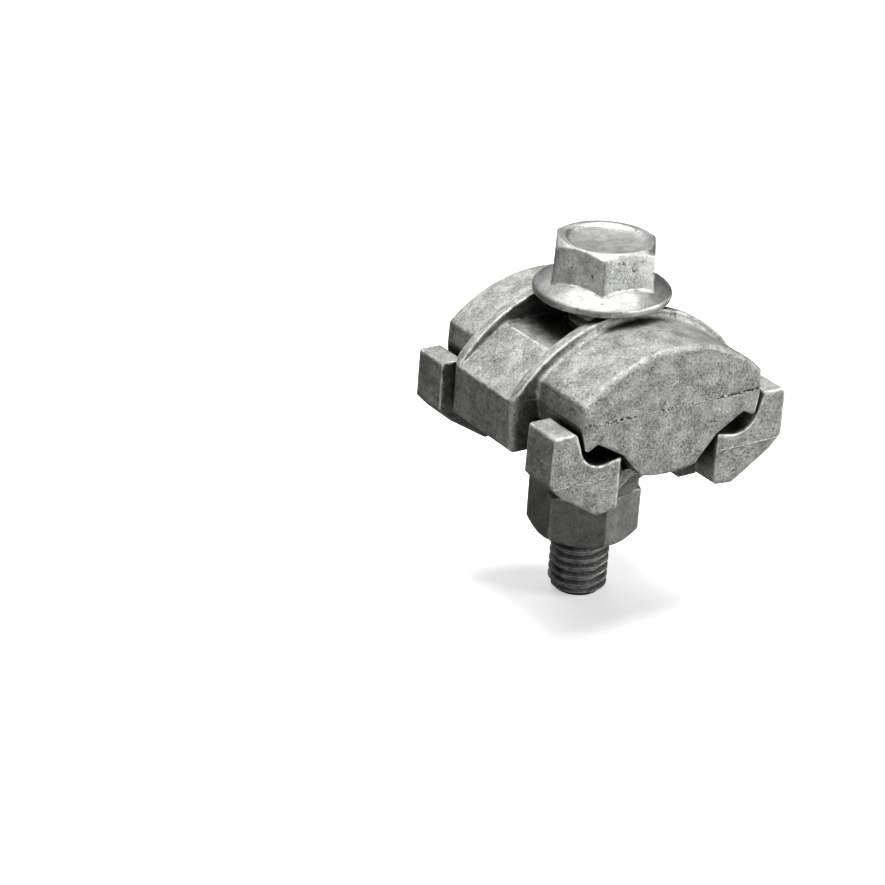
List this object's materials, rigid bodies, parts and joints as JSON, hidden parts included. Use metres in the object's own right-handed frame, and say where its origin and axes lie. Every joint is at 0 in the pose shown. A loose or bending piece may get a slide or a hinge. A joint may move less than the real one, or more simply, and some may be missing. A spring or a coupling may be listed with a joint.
{
  "type": "parallel groove clamp",
  "caption": "Cast aluminium clamp that joins two parallel overhead conductors in its side grooves, drawn together by a flange bolt and nut.",
  "frame": {"origin": "on the bolt's axis, level with the parting line of the upper casting, where both conductors are held", "axes": "+Z along the bolt to its head, +Y along the two conductors, X across the grooves"},
  "size_m": [0.0362, 0.031, 0.0501],
  "materials": {
    "casting": "as cast, satin, faintly mottled",
    "bolt_zinc": "bright zinc plate over forged steel",
    "washer_steel": "dull plated steel",
    "nut_steel": "dark plated steel, satin"
  },
  "bodies": {
    "cap": {"upper_half": "casting"},
    "base": {"lower_half": "casting"},
    "bolt": {"flange_bolt": "bolt_zinc"},
    "washers": {"flat_washer": "washer_steel", "spring_washer": "washer_steel"},
    "nut": {"hex_nut": "nut_steel"}
  },
  "joints": [
    {"name": "bolt_turn", "type": "hinge", "parent": "cap", "child": "bolt", "pos_m": [0, 0, 0], "axis": [0, 0, 1], "continuous": true},
    {"name": "washer_slide", "type": "slide", "parent": "bolt", "child": "washers", "axis": [0, 0, -1], "range_m": [0, 0.0081]},
    {"name": "nut_turn", "type": "hinge", "parent": "washers", "child": "nut", "pos_m": [0, 0, 0], "axis": [0, 0, -1], "range_deg": [0, 2304]},
    {"name": "jaw_opening", "type": "slide", "parent": "cap", "child": "base", "axis": [0, 0, -1], "range_m": [0, 0.0081]}
  ],
  "couplings": [
    {"joint": "washer_slide", "follows": "nut_turn", "m_per_rad": 0.00019894},
    {"joint": "jaw_opening", "follows": "nut_turn", "m_per_rad": 0.00019894}
  ]
}
